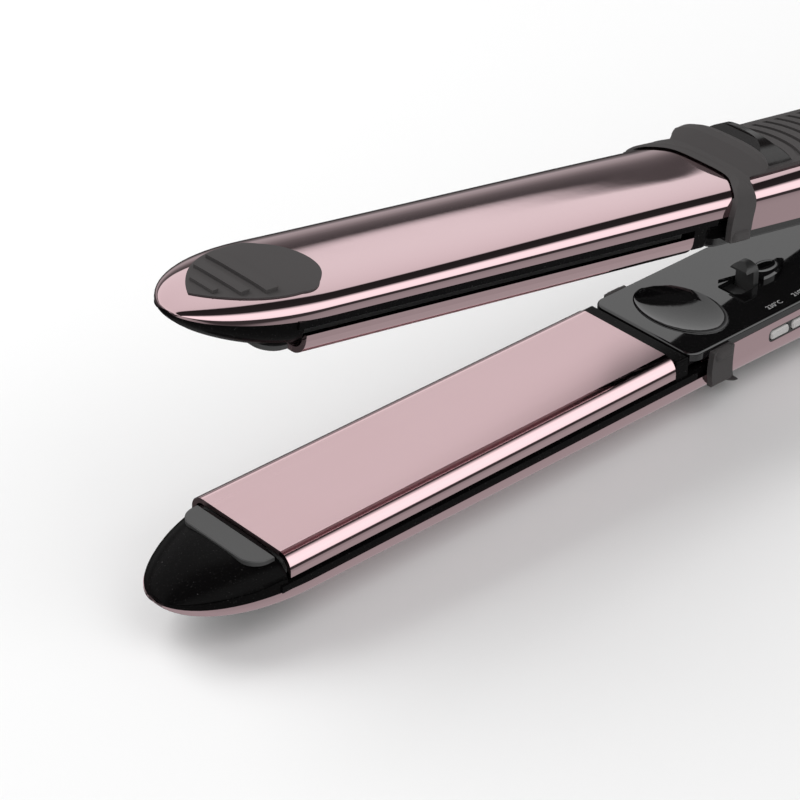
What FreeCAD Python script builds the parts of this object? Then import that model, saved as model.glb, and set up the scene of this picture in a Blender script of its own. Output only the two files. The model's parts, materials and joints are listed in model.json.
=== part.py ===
import FreeCAD, Part
import math
import os

V = FreeCAD.Vector

# Sizes are in millimetres.  One arm is drawn in its own frame: x runs from the nose tip to the
# hinge, y across, z outward from the plane where the two closed arms meet.

# --- whole tool ---
arm_width = 31.0
opening_angle = 10.4
hinge_x = 268.0
wall = 1.3
small_gap = 0.3
run_fit = 0.04

# --- outer envelope of an arm ---
nose_length = 30.0
nose_power = 2.2
side_height = 8.0
crown_nose = 4.4
crown_break_x = 140.2
crown_swell_x = 210.0
crown_collar = 5.3
crown_handle = 7.0
crown_tail = 7.2
crown_shape = 3.8
shell_end_x = 262.0
handle_parting = 3.3
parting_step_x = 147.0

# --- heating plate ---
plate_front_x = 22.5
plate_length = 110.0
plate_flat = 24.0
plate_roll = 3.5
plate_depth = 4.9
plate_thickness = 1.2
plate_gap = 0.15
plate_float = 0.8

# --- pieces carried by the plate ---
heater_length = 96.0
heater_width = 16.0
heater_thickness = 1.2
carrier_half_width = 12.4
carrier_back_z = 6.0
carrier_lip = 1.2
peg_radius = 1.4
peg_spacing = 76.0
pocket_offset = 13.0

# --- plate frame and inner nose ---
contact_length = 6.9
contact_half_width = 12.2
contact_corner = 4.3
rail_z = 6.4
floor_z = 8.2
floor_thickness = 1.0
ledge_length = 3.8
ledge_z = 1.4
frame_rear_x = 146.0
hull_rise = 7.0
hull_shape = 3.4

# --- inner handle cover ---
cover_front_x = 137.6
cover_z = 1.2
cover_thickness = 1.7
dish_x = 150.2
dish_length = 17.4
dish_width = 25.0
dish_depth = 2.7

cover_screw_x = (209.5, 222.0)
cover_screw_y = 10.4
screw_radius = 1.1
screw_head_radius = 2.1
screw_head_height = 0.75
screw_end_z = 10.5
post_radius = 2.7

# --- collar ---
collar_side_front = 143.0
collar_side_rear = 149.6
collar_top_front = 150.8
collar_top_rear = 159.2
collar_crest_x = 156.8
collar_half_width = 17.0
collar_top = 18.6
collar_closing_z = 2.2
collar_roundness = 3.1
collar_narrowing = 0.04
knob_radius = 1.4

# --- thumb ridge and grip pad ---
ridge_x = 161.6
ridge_top = 19.8
ridge_half_width = 9.9
ridge_roundness = 2.7
grip_front_x = 150.5
grip_rear_x = 206.0
grip_half_width = 10.4
grip_raise = 0.9
groove_count = 8
groove_pitch = 3.9
groove_width = 1.3
groove_first_x = 171.0
groove_depth = 0.65
groove_bend = 16.0
groove_margin = 1.6

# --- nose pad ---
shield_tip_x = 5.2
shield_wide_x = 24.0
shield_half_width = 11.4
shield_rear_x = 35.0
pad_depth = 0.5
pad_raise = 0.35
pad_fit = 0.05
rib_raise = 1.15
rib_bands = ((8.2, 9.6, 3.4), (12.0, 14.2, 7.0), (16.6, 19.6, 9.0))

# --- hinge ---
barrel_radius = 12.5
barrel_half_width = 9.2
ear_outer_y = 15.5
fork_top_z = 10.2
fork_front_x = 228.0
hinge_clearance = 0.7
pin_radius = 2.2
spring_mean_radius = 4.6
spring_wire_radius = 0.6
spring_turns = 5
spring_half_width = 3.6

# --- cord inlet ---
boss_radius = 8.2
boss_end_x = 287.0
sleeve_radius = 5.6
inlet_radius = 3.6
sleeve_front_x = 275.4
sleeve_end_x = 297.0

# --- keys on the side of the lower arm ---
key_count = 6
key_pitch = 7.0
first_key_x = 166.4
key_length = 5.9
key_height = 2.1
key_z = 6.6
key_travel = 0.5
key_gap = 0.25
bezel_border = 0.6
key_proud = 0.35
key_chamfer = 0.3
key_stem = 1.2
bezel_depth = 1.4

# --- lock ---
lock_x = 170.0
lock_y = 1.0
lock_travel = 3.5
lock_width = 5.4
lock_lip = 2.2
lock_rise = 4.0
lock_stem = 1.7
catch_thickness = 0.8
lock_knob_length = 9.0
cowl_length = 10.6
cowl_width = 7.0
cowl_rise = 1.2

# --- wiring ---
lead_z = 10.6
lead_places = (-4.0, 0.0, 4.0)


# ---------------------------------------------------------------- helpers
def box(x0, x1, y0, y1, z0, z1):
    """Block between the given limits."""
    return Part.makeBox(x1 - x0, y1 - y0, z1 - z0, V(x0, y0, z0))


def rod(radius, start, end):
    """Round bar from one point to another."""
    axis = end.sub(start)
    return Part.makeCylinder(radius, axis.Length, start, axis)


def fuse(shapes):
    """Union of several shapes as one clean solid."""
    result = shapes[0].fuse(shapes[1:])
    return result.removeSplitter()


def ellipsoid(centre, rx, ry, rz, lean=0.0):
    """Ball stretched to three radii, leaned about the y axis by `lean` degrees."""
    stretch = FreeCAD.Matrix(rx, 0, 0, 0, 0, ry, 0, 0, 0, 0, rz, 0, 0, 0, 0, 1)
    ball = Part.makeSphere(1.0).transformGeometry(stretch)
    ball.rotate(V(0, 0, 0), V(0, 1, 0), lean)
    ball.translate(centre)
    return ball


def plan_prism(edges, z0, z1):
    """Upright prism over a closed outline drawn at height z0."""
    return Part.Face(Part.Wire(edges)).extrude(V(0, 0, z1 - z0))


def side_prism(points, half):
    """Prism across the tool over a polygon of (x, z) points."""
    corners = [V(x, -half, z) for x, z in points]
    wire = Part.makePolygon(corners + corners[:1])
    return Part.Face(wire).extrude(V(0, 2 * half, 0))


# ---------------------------------------------------------------- envelope of an arm
def blend(x, x0, x1, v0, v1):
    """Value easing from v0 at x0 to v1 at x1."""
    u = min(max((x - x0) / (x1 - x0), 0.0), 1.0)
    u = u * u * (3 - 2 * u)
    return v0 + (v1 - v0) * u


def crown_height(x):
    """Height of the rounded crown above the straight sides."""
    if x < crown_break_x:
        return blend(x, nose_length, crown_break_x, crown_nose, crown_collar)
    if x < crown_swell_x:
        return blend(x, crown_break_x, crown_swell_x, crown_collar, crown_handle)
    return blend(x, crown_swell_x, shell_end_x, crown_handle, crown_tail)


def nose_factor(x, inset):
    """Share of the full width reached at x within the rounded nose."""
    u = min(max((x - inset) / (nose_length - inset), 0.0), 1.0)
    return (1 - (1 - u) ** nose_power) ** 0.5


def crown_section(x, half, base, height, power, bottom):
    """Closed section: straight sides up to `base`, rounded crown above."""
    steps = 24
    points = []
    for i in range(steps + 1):
        t = math.pi * i / steps
        c = math.cos(t)
        s = max(math.sin(t), 0.0)
        y = -half * math.copysign(abs(c) ** (2 / power), c)
        points.append(V(x, y, base + height * s ** (2 / power)))
    points[0] = V(x, -half, base)
    points[-1] = V(x, half, base)
    crown = Part.BSplineCurve()
    crown.interpolate(Points=points, InitialTangent=V(0, 0, 1), FinalTangent=V(0, 0, -1))
    left = Part.LineSegment(V(x, -half, bottom), points[0]).toShape()
    right = Part.LineSegment(points[-1], V(x, half, bottom)).toShape()
    low = Part.LineSegment(V(x, half, bottom), V(x, -half, bottom)).toShape()
    return Part.Wire([left, crown.toShape(), right, low])


def nose_stations(first):
    """Section places crowding toward the nose tip."""
    count = 9
    span = nose_length - first
    return [first + span * (1 - math.cos(math.pi / 2 * i / (count - 1))) for i in range(count)]


def envelope(inset, bottom=-1.0):
    """Solid outline of an arm, moved inward by `inset` (outward when negative)."""
    full = arm_width / 2 - inset
    nose = []
    for x in nose_stations(inset + 0.15):
        share = nose_factor(x, inset)
        tall = (crown_nose - inset) * share
        nose.append(crown_section(x, full * share, side_height, tall, crown_shape, bottom))
    body = []
    for x in (nose_length, 75.0, 120.0, 160.0, 200.0, 235.0, shell_end_x):
        tall = crown_height(x) - inset
        body.append(crown_section(x, full, side_height, tall, crown_shape, bottom))
    front = Part.makeLoft(nose, True, False)
    rear = Part.makeLoft(body, True, False)
    return front.fuse(rear)


def hinge_clear():
    """Space swept by the hinge knuckles, cut from everything that ends beside them."""
    radius = barrel_radius + hinge_clearance
    return rod(radius, V(hinge_x, -20, 0), V(hinge_x, 20, 0))


# ---------------------------------------------------------------- outer shell and soft pads
def mirrored(point):
    """Point on the other side of the arm's middle."""
    return V(point.x, -point.y, point.z)


def shield_wire():
    """Outline of the nose pad in plan."""
    tip = V(shield_tip_x, 0, side_height)
    bow = V(shield_tip_x + 7.2, shield_half_width * 0.72, side_height)
    wide = V(shield_wide_x, shield_half_width, side_height)
    ease = V(shield_rear_x - 7.2, shield_half_width - 0.3, side_height)
    corner = V(shield_rear_x - 5.0, shield_half_width - 2.2, side_height)
    back = V(shield_rear_x, 0, side_height)
    return Part.Wire(
        [
            Part.Arc(tip, bow, wide).toShape(),
            Part.Arc(wide, ease, corner).toShape(),
            Part.Arc(corner, back, mirrored(corner)).toShape(),
            Part.Arc(mirrored(corner), mirrored(ease), mirrored(wide)).toShape(),
            Part.Arc(mirrored(wide), mirrored(bow), tip).toShape(),
        ]
    )


def shield_prism(grow=0.0):
    """Upright prism over the nose pad outline, widened by `grow`."""
    wire = shield_wire()
    if grow:
        wire = wire.makeOffset2D(grow)
    return Part.Face(wire).extrude(V(0, 0, 12))


def screw_places():
    """Middle of each cover screw in plan."""
    return [(x, side * cover_screw_y) for x in cover_screw_x for side in (-1, 1)]


def shell_bosses():
    """Screw posts inside the shell, in pairs along the handle."""
    z0 = cover_z + cover_thickness
    return [rod(post_radius, V(x, y, z0), V(x, y, 14.0)) for x, y in screw_places()]


def outer_shell(outer, inner, floor):
    """Metal-look shell from nose to hinge, with a recess for the nose pad."""
    keep = side_prism(
        [
            (-5, side_height),
            (parting_step_x, side_height),
            (parting_step_x + 2.6, handle_parting),
            (300, handle_parting),
            (300, 40),
            (-5, 40),
        ],
        25,
    )
    skin = outer.cut(inner).common(keep)
    recess = shield_prism(pad_fit).common(outer).cut(floor)
    skin = skin.cut(recess).cut(hinge_clear())
    posts = [post.common(outer) for post in shell_bosses()]
    shell = fuse([skin] + posts)
    for x, y in screw_places():
        shell = shell.cut(rod(screw_radius + run_fit, V(x, y, 0), V(x, y, screw_end_z + 1)))
    return shell


def nose_pad(floor, raised, ribs):
    """Soft shield-shaped thumb pad with three raised ribs."""
    pad = shield_prism().common(raised.cut(floor))
    bands = []
    for x0, x1, half in rib_bands:
        bands.append(box(x0, x1, -half, half, side_height, 20))
    top = ribs.cut(floor)
    parts = [band.common(top) for band in bands]
    return fuse([pad] + parts)


def side_curve(points):
    """Smooth line through (x, z) points, drawn beside the arm."""
    curve = Part.BSplineCurve()
    curve.interpolate([V(x, -25, z) for x, z in points])
    return curve


def side_band(front_points, rear_points):
    """Block across the arm between two smooth side lines that run upward."""
    front = side_curve(front_points)
    rear = side_curve(rear_points)
    low = Part.LineSegment(rear.StartPoint, front.StartPoint)
    high = Part.LineSegment(front.EndPoint, rear.EndPoint)
    outline = Part.Wire([front.toShape(), high.toShape(), rear.toShape(), low.toShape()])
    return Part.Face(outline).extrude(V(0, 50, 0))


def collar_height(x):
    """Height of the collar's top line: low at the front lip, eased up to the crest."""
    low_lip = side_height + crown_height(collar_top_front) + 1.0
    if x < collar_crest_x:
        return blend(x, collar_top_front - 0.5, collar_crest_x, low_lip, collar_top)
    return blend(x, collar_crest_x, collar_crest_x + 8.0, collar_top, collar_top - 3.0)


def collar(outer, lip_gap):
    """Finger guard: a low front lip that sweeps up to a crest, with a side band down each wall."""
    top = collar_top
    front_x = collar_top_front
    first = collar_side_front - 2.0
    last = collar_top_rear + 2.0
    count = 14
    wires = []
    for i in range(count):
        x = first + (last - first) * i / (count - 1)
        narrowing = collar_narrowing if x > front_x else 0.0
        half = collar_half_width - narrowing * (x - front_x) ** 2
        tall = collar_height(x) - side_height
        wires.append(crown_section(x, half, side_height, tall, collar_roundness, -1.0))
    body = Part.makeLoft(wires, True, True)
    band = side_band(
        [
            (collar_side_front + 0.2, collar_closing_z),
            (collar_side_front - 0.3, 7.0),
            (collar_side_front + 0.6, 11.0),
            (collar_side_front + 2.4, 12.8),
            (front_x, 14.6),
            (front_x + 1.0, 17.5),
            (front_x + 1.4, top + 4.0),
        ],
        [
            (collar_side_rear, collar_closing_z),
            (collar_side_rear - 0.2, 7.0),
            (collar_side_rear + 0.3, 11.0),
            (collar_side_rear + 1.6, 13.6),
            (collar_top_rear - 5.2, 15.2),
            (collar_top_rear - 1.6, 16.9),
            (collar_top_rear, 18.6),
            (collar_top_rear + 0.3, top + 4.0),
        ],
    )
    under = lip_gap.common(box(collar_side_front - 3, front_x + 2.2, -20, 20, 11.6, 30))
    cuff = body.common(band).cut(outer).cut(under)
    knobs = []
    for side in (-1, 1):
        y = side * (arm_width / 2 + knob_radius - 0.5)
        z = collar_closing_z + knob_radius - 0.2
        x0 = collar_side_front + knob_radius + 0.4
        x1 = collar_side_rear - knob_radius - 0.2
        knobs.append(rod(knob_radius, V(x0, y, z), V(x1, y, z)))
        knobs.append(Part.makeSphere(knob_radius, V(x0, y, z)))
        knobs.append(Part.makeSphere(knob_radius, V(x1, y, z)))
    knob_set = knobs[0].fuse(knobs[1:]).cut(outer)
    return fuse([cuff, knob_set])


def thumb_ridge(padded):
    """Glossy fin across the grip pad, steep in front and easing out behind."""
    x = ridge_x
    top = ridge_top
    fin = side_band(
        [(x - 4.6, 12.0), (x - 3.6, 15.6), (x - 1.8, 17.9), (x, top)],
        [(x + 9.0, 12.0), (x + 6.4, 15.4), (x + 3.0, 18.0), (x + 0.9, top)],
    )
    nose = rod(1.0, V(x + 0.3, -25, top - 0.6), V(x + 0.3, 25, top - 0.6))
    limit = []
    for place in (x - 8.0, x + 12.0):
        limit.append(crown_section(place, ridge_half_width, 10.0, top - 10.2, ridge_roundness, 9.0))
    return fin.fuse(nose).removeSplitter().common(Part.makeLoft(limit, True, True)).cut(padded)


def grip_pad(outer, raised, collar_shape):
    """Ribbed soft pad on the back of the handle."""
    half = grip_half_width
    block = box(grip_front_x, grip_rear_x, -half, half, side_height, 30)
    corners = [edge for edge in block.Edges if abs(edge.tangentAt(edge.FirstParameter).z) > 0.9]
    block = block.makeFillet(5.0, [e for e in corners if e.CenterOfMass.x > ridge_x + 10])
    pad = block.common(raised).cut(outer)
    for i in range(groove_count):
        x = groove_first_x + i * groove_pitch
        centre = x - groove_bend
        depth = side_height + crown_height(x) + grip_raise - groove_depth
        ring = rod(groove_bend + groove_width / 2, V(centre, 0, depth), V(centre, 0, 30))
        ring = ring.cut(rod(groove_bend - groove_width / 2, V(centre, 0, depth), V(centre, 0, 30)))
        reach = grip_half_width - groove_margin
        pad = pad.cut(ring.common(box(centre, x + 5, -reach, reach, 10, 30)))
    return max(pad.cut(collar_shape).Solids, key=lambda solid: solid.Volume)


# ---------------------------------------------------------------- heating plate and what it carries
def plate():
    """Rolled-edge heating plate, open on its back."""
    x0 = plate_front_x
    x1 = plate_front_x + plate_length
    half = plate_flat / 2 + plate_roll
    z0 = plate_gap
    z1 = plate_gap + plate_depth - 0.15
    block = box(x0, x1, -half, half, z0, z1)
    rolled = [e for e in block.Edges if e.Length > plate_length - 1 and e.CenterOfMass.z < z0 + 0.1]
    block = block.makeFillet(plate_roll, rolled)
    inner_half = half - plate_thickness
    hollow = box(x0 - 1, x1 + 1, -inner_half, inner_half, z0 + plate_thickness, z1 + 1)
    inner_edges = [
        e for e in hollow.Edges
        if e.Length > plate_length and e.CenterOfMass.z < z0 + plate_thickness + 0.1
    ]
    hollow = hollow.makeFillet(plate_roll - plate_thickness, inner_edges)
    return block.cut(hollow)


def plate_middle():
    """Middle of the plate along the arm."""
    return plate_front_x + plate_length / 2


def heater():
    """Ceramic heater strip on the back of the plate."""
    half = heater_length / 2
    mid = plate_middle()
    z0 = plate_gap + plate_thickness
    strip = box(mid - half, mid + half, -heater_width / 2, heater_width / 2, z0, z0 + heater_thickness)
    tabs = []
    for y in (-5.0, 5.0):
        tabs.append(box(mid + half, mid + half + 5, y - 1.2, y + 1.2, z0 + 0.4, z0 + 0.8))
    return fuse([strip] + tabs)


def sensor_bead():
    """Temperature sensor sitting in a pocket of the carrier."""
    z0 = plate_gap + plate_thickness + heater_thickness
    mid = plate_middle()
    return rod(1.0, V(mid - 4, 0, z0 + 1.0), V(mid + 4, 0, z0 + 1.0))


def carrier():
    """Insulating tray clamped on the back of the plate."""
    x0 = plate_front_x + 0.4
    x1 = plate_front_x + plate_length - 0.4
    half = carrier_half_width
    z0 = plate_gap + plate_thickness + heater_thickness + 0.02
    tray = box(x0, x1, -half, half, z0, carrier_back_z)
    feet = []
    for y0, y1 in ((-half, -half + 2.0), (half - 2.0, half)):
        feet.append(box(x0 + 6, x1 - 6, y0, y1, plate_gap + plate_thickness, z0))
    lips = [
        box(x0 - carrier_lip - 0.4, x0, -8, 8, 3.6, 4.6),
        box(x1, x1 + carrier_lip + 0.4, -8, 8, 3.6, 4.6),
    ]
    pegs = []
    for x in peg_places():
        pegs.append(rod(peg_radius, V(x, 0, carrier_back_z - 0.5), V(x, 0, floor_z + 0.7)))
    body = fuse([tray] + feet + lips + pegs)
    pockets = []
    mid = plate_middle()
    for side in (-1, 1):
        for k in range(4):
            x = mid + side * pocket_offset + (k - 1.5) * 5.6
            pockets.append(box(x - 2.2, x + 2.2, -9, 9, z0 + 1.6, carrier_back_z + 1))
    pockets.append(box(mid - 4.4, mid + 4.4, -1.4, 1.4, z0 - 1, z0 + 2.2))
    half_heater = heater_length / 2
    pockets.append(box(mid + half_heater, mid + half_heater + 5.5, -6.8, 6.8, z0 - 1, z0 + 0.6))
    return body.cut(pockets[0].fuse(pockets[1:]))


def peg_places():
    """Places of the guide pegs along the plate."""
    return (plate_middle() - peg_spacing / 2, plate_middle() + peg_spacing / 2)


# ---------------------------------------------------------------- frame and inner nose
def hull_section(x, half, rise, power):
    """Closed section: flat at the parting height, rounded toward the closing plane."""
    steps = 20
    points = []
    for i in range(steps + 1):
        t = math.pi * i / steps
        c = math.cos(t)
        s = max(math.sin(t), 0.0)
        y = -half * math.copysign(abs(c) ** (2 / power), c)
        points.append(V(x, y, side_height - rise * s ** (2 / power)))
    points[0] = V(x, -half, side_height)
    points[-1] = V(x, half, side_height)
    curve = Part.BSplineCurve()
    curve.interpolate(Points=points, InitialTangent=V(0, 0, -1), FinalTangent=V(0, 0, 1))
    closing = Part.LineSegment(points[-1], points[0]).toShape()
    return Part.Wire([curve.toShape(), closing])


def hull(inset):
    """Boat-shaped inner nose."""
    end = plate_front_x - small_gap
    first = inset + 0.4
    count = 8
    wires = []
    for i in range(count):
        x = first + (end - first) * (1 - math.cos(math.pi / 2 * i / (count - 1)))
        share = nose_factor(x, inset)
        depth = min((x - inset) / (end - 1.0 - inset), 1.0)
        rise = (hull_rise - inset) * (1 - (1 - depth) ** 2.0) ** 0.62
        power = blend(x, 4.0, end, 2.2, hull_shape)
        wires.append(hull_section(x, (arm_width / 2 - inset) * share, rise, power))
    return Part.makeLoft(wires, True, False)


def frame():
    """Inner nose, side rails, floor and rear ledge that hold the plate."""
    half = arm_width / 2
    x0 = plate_front_x - 2.0
    x1 = plate_front_x + plate_length
    rear = x1 + 0.8
    inner = half - wall - 0.2
    nose = hull(0.12)
    hollow = hull(1.6).cut(box(x0 - 0.2, 40, -20, 20, 0, 20))
    pocket = box(x0 - 0.2, 40, -9, 9, 3.1, 5.9)
    nose = nose.cut(hollow).cut(pocket)
    rails = []
    for side in (-1, 1):
        y0, y1 = sorted((side * (carrier_half_width + 0.5), side * (half - 0.25)))
        rails.append(box(x0, frame_rear_x - 6, y0, y1, rail_z, side_height - 0.05))
        y0, y1 = sorted((side * (carrier_half_width + 0.5), side * inner))
        rails.append(box(x0, frame_rear_x, y0, y1, rail_z, floor_z + floor_thickness))
    floor = box(x0, frame_rear_x, -inner, inner, floor_z, floor_z + floor_thickness)
    ledge = box(rear, rear + ledge_length, -half + 0.7, half - 0.7, ledge_z, side_height - 0.05)
    long_edges = [
        e for e in ledge.Edges
        if abs(e.tangentAt(e.FirstParameter).y) > 0.9 and e.CenterOfMass.z < ledge_z + 0.1
    ]
    end_edges = [
        e for e in ledge.Edges
        if abs(e.tangentAt(e.FirstParameter).x) > 0.9 and e.CenterOfMass.z < ledge_z + 0.1
    ]
    ledge = ledge.makeFillet(0.5, long_edges + end_edges)
    ledge = ledge.cut(box(rear - 1, rear + carrier_lip + 0.8, -9, 9, 3.1, 5.9))
    supports = []
    for x in (40.0, plate_middle(), 115.0):
        supports.append(box(x - 1.2, x + 1.2, -10, 10, floor_z + 0.5, shield_z()))
    body = fuse([nose, floor, ledge] + rails + supports)
    for x in peg_places():
        body = body.cut(rod(peg_radius + 0.25, V(x, 0, 6), V(x, 0, 12)))
    return body.cut(nose_contact_space())


def shield_z():
    """Height at which the heat shield rests."""
    return floor_z + floor_thickness + 0.7


def contact_prism(shrink, z0, z1):
    """Rounded block for the pad on the inner nose."""
    rear = plate_front_x - 1.1 - shrink
    front = plate_front_x - contact_length + shrink
    half = contact_half_width - shrink
    block = box(front, rear, -half, half, z0, z1)
    upright = [e for e in block.Edges if abs(e.tangentAt(e.FirstParameter).z) > 0.9]
    block = block.makeFillet(contact_corner - shrink, [e for e in upright if e.CenterOfMass.x < front + 1])
    return block


def nose_contact_space():
    """Room for the soft pad on the inner nose."""
    return contact_prism(0.0, 0.0, 2.0)


def nose_contact():
    """Soft pad set in the inner nose."""
    block = contact_prism(0.15, 0.9, 2.0)
    top = [e for e in block.Edges if e.BoundBox.ZMax < 0.91]
    return block.makeChamfer(0.2, top)


def bumpers():
    """Silicone buffers on the frame behind the plate carrier."""
    pads = []
    for x in (35.0, 62.0, 93.0, 120.0):
        for y in (-7.5, 7.5):
            pads.append(rod(2.4, V(x, y, carrier_back_z + plate_float + small_gap), V(x, y, floor_z)))
    return Part.makeCompound(pads)


def heat_shield():
    """Thin metal sheet between the frame and the shell."""
    z0 = shield_z()
    sheet = box(34, 126, -11.8, 11.8, z0, z0 + 0.3)
    for x in (52, 66, 90, 104):
        sheet = sheet.cut(box(x - 4, x + 4, -1.5, 1.5, 5, 15))
    return sheet


# ---------------------------------------------------------------- inner handle cover
def handle_cover():
    """Glossy cover closing the handle on the inside, dished behind the plate."""
    half = arm_width / 2 - 0.1
    x0 = cover_front_x
    x1 = shell_end_x
    slab = box(x0, x1, -half, half, cover_z, handle_parting - 0.05)
    front = [
        e for e in slab.Edges
        if abs(e.tangentAt(e.FirstParameter).z) > 0.9 and e.CenterOfMass.x < x0 + 1
    ]
    slab = slab.makeFillet(3.0, front)
    rim = [e for e in slab.Edges if e.BoundBox.ZMax < cover_z + 0.01]
    slab = slab.makeFillet(0.6, rim)
    inner = half - 1.6
    z1 = cover_z + cover_thickness
    dish_end = dish_x + dish_length / 2 + 2.0
    slab = slab.cut(box(dish_end, x1 + 5, -inner, inner, z1, 10))
    base = box(x0 + 1.4, dish_end, -inner + 0.6, inner - 0.6, z1 - 0.5, cover_z + dish_depth + 1.2)
    body = fuse([slab, base])
    lift = 0.5
    scoop = ellipsoid(V(dish_x, 0, cover_z - lift), dish_length / 2, dish_width / 2, dish_depth + lift)
    body = body.cut(scoop).cut(hinge_clear())
    for x, y in screw_places():
        hole = rod(screw_radius + 0.15, V(x, y, 0), V(x, y, z1 + 2))
        sink = rod(screw_head_radius + 0.2, V(x, y, 0), V(x, y, cover_z + screw_head_height + 0.05))
        body = body.cut(hole).cut(sink)
    return body


def cover_screws():
    """Four screws holding the cover to the shell posts."""
    screws = []
    head_top = cover_z + screw_head_height + 0.05
    for x, y in screw_places():
        head = rod(screw_head_radius, V(x, y, cover_z + 0.05), V(x, y, head_top))
        shank = rod(screw_radius, V(x, y, head_top - 0.2), V(x, y, screw_end_z))
        slot = box(x - 0.25, x + 0.25, y - 1.3, y + 1.3, cover_z - 1, cover_z + 0.45)
        cross = box(x - 1.3, x + 1.3, y - 0.25, y + 0.25, cover_z - 1, cover_z + 0.45)
        screws.append(head.fuse(shank).removeSplitter().cut(slot.fuse(cross)))
    return Part.makeCompound(screws)


# ---------------------------------------------------------------- hinge
def hinge_bore(slack):
    """Bore for the hinge pin."""
    return rod(pin_radius + slack, V(hinge_x, -20, 0), V(hinge_x, 20, 0))


def barrel():
    """Central knuckle of the lower arm with its tongue and the cord boss."""
    half = barrel_half_width
    knuckle = rod(barrel_radius, V(hinge_x, -half, 0), V(hinge_x, half, 0))
    tongue = box(228, hinge_x - 4, -half, half, 3.7, 11.8)
    boss = rod(boss_radius, V(hinge_x, 0, 0), V(boss_end_x, 0, 0))
    body = fuse([knuckle, tongue, boss])
    chamber = rod(spring_mean_radius + spring_wire_radius + 0.8, V(hinge_x, -spring_half_width, 0),
                  V(hinge_x, spring_half_width, 0))
    bore = rod(sleeve_radius + run_fit, V(hinge_x + 3, 0, 0), V(boss_end_x + 1, 0, 0))
    ring_room = rod(sleeve_radius + 1.6, V(sleeve_front_x - 0.6, 0, 0), V(sleeve_front_x + 2.6, 0, 0))
    channel = box(220, hinge_x, -3.0, 3.0, 5.2, 9.6)
    duct = box(hinge_x - 9, hinge_x, -2.6, 2.6, 0, 7)
    body = body.cut(chamber.fuse([bore, ring_room, channel, duct]))
    return body.cut(hinge_bore(run_fit))


def ears():
    """Fork of the upper arm: two knuckles joined inside the handle."""
    y0 = barrel_half_width + small_gap
    y1 = ear_outer_y
    inner = arm_width / 2 - wall - 0.2
    parts = []
    for side in (-1, 1):
        a = side * y0
        b = side * y1
        parts.append(rod(barrel_radius, V(hinge_x, a, 0), V(hinge_x, b, 0)))
        lo, hi = sorted((a, side * inner))
        parts.append(box(fork_front_x + 4, hinge_x - 4, lo, hi, handle_parting + 0.4, fork_top_z))
    parts.append(box(fork_front_x, fork_front_x + 8, -inner, inner, handle_parting + 0.4, fork_top_z))
    return fuse(parts).cut(hinge_bore(run_fit / 2))


def hinge_pin():
    """Steel pin through the knuckles."""
    return rod(pin_radius, V(hinge_x, -ear_outer_y + 0.2, 0), V(hinge_x, ear_outer_y - 0.2, 0))


def hinge_cap(side):
    """Domed cap over one end of the hinge."""
    y0 = side * ear_outer_y
    disc = rod(9.0, V(hinge_x, y0, 0), V(hinge_x, y0 + side * 1.3, 0))
    rim = [e for e in disc.Edges if abs(e.BoundBox.YMin) > ear_outer_y + 1.2 and e.Length > 20]
    rim = [e for e in rim if abs(e.BoundBox.YMax) > ear_outer_y + 1.2]
    return disc.makeFillet(0.9, rim)


def hinge_spring():
    """Close-wound torsion spring round the hinge pin, with its two legs."""
    pitch = 2 * spring_wire_radius - 0.1
    coils = []
    for i in range(spring_turns):
        y = (i - (spring_turns - 1) / 2) * pitch
        ring = Part.makeTorus(spring_mean_radius, spring_wire_radius, V(hinge_x, y, 0), V(0, 1, 0))
        coils.append(ring)
    leg_y = (spring_turns - 1) / 2 * pitch - 0.3
    x0 = hinge_x - spring_mean_radius
    legs = [
        rod(spring_wire_radius - 0.05, V(x0, leg_y, 0), V(x0, leg_y, 6.4)),
        rod(spring_wire_radius - 0.05, V(x0, -leg_y, 0), V(x0 - 2.0, -leg_y, 6.2)),
    ]
    return fuse(coils + legs)


# ---------------------------------------------------------------- cord inlet
def cord_sleeve():
    """Turning sleeve that a cord enters."""
    x0 = sleeve_front_x
    x1 = boss_end_x + small_gap
    inside = rod(sleeve_radius, V(x0, 0, 0), V(x1 + 0.5, 0, 0))
    shoulder = rod(boss_radius, V(x1, 0, 0), V(x1 + 3.6, 0, 0))
    cone = Part.makeCone(boss_radius - 0.8, boss_radius - 2.2, sleeve_end_x - x1 - 3.6, V(x1 + 3.6, 0, 0),
                         V(1, 0, 0))
    body = fuse([inside, shoulder, cone])
    groove = rod(sleeve_radius + 1, V(x0 + 0.8, 0, 0), V(x0 + 2.0, 0, 0))
    groove = groove.cut(rod(sleeve_radius - 0.8, V(x0, 0, 0), V(x0 + 3, 0, 0)))
    bore = rod(inlet_radius, V(x0 - 1, 0, 0), V(sleeve_end_x + 1, 0, 0))
    return body.cut(groove.fuse(bore))


def sleeve_ring():
    """Snap ring that keeps the sleeve in its boss."""
    x0 = sleeve_front_x + 0.9
    outer = rod(sleeve_radius + 1.2, V(x0, 0, 0), V(x0 + 1.0, 0, 0))
    inner = rod(sleeve_radius - 0.78, V(x0 - 1, 0, 0), V(x0 + 2, 0, 0))
    gap = box(x0 - 1, x0 + 2, -1.5, 1.5, 0, 12)
    return outer.cut(inner.fuse(gap))


# ---------------------------------------------------------------- keys, boards, leads
def key_places():
    """Middle of each key along the handle."""
    return [first_key_x + i * key_pitch for i in range(key_count)]


def key_slot_limits(border):
    """Limits along x and z of the key slot, widened by `border`."""
    places = key_places()
    x0 = places[0] - key_length / 2 - border
    x1 = places[-1] + key_length / 2 + border
    return x0, x1, key_z - key_height / 2 - border, key_z + key_height / 2 + border


def rounded_bar(x0, x1, y0, y1, z0, z1):
    """Block whose four edges along y are rounded by nearly half its height."""
    block = box(x0, x1, y0, y1, z0, z1)
    edges = [e for e in block.Edges if abs(e.tangentAt(e.FirstParameter).y) > 0.9]
    return block.makeFillet(0.4 * (z1 - z0), edges)


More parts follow.
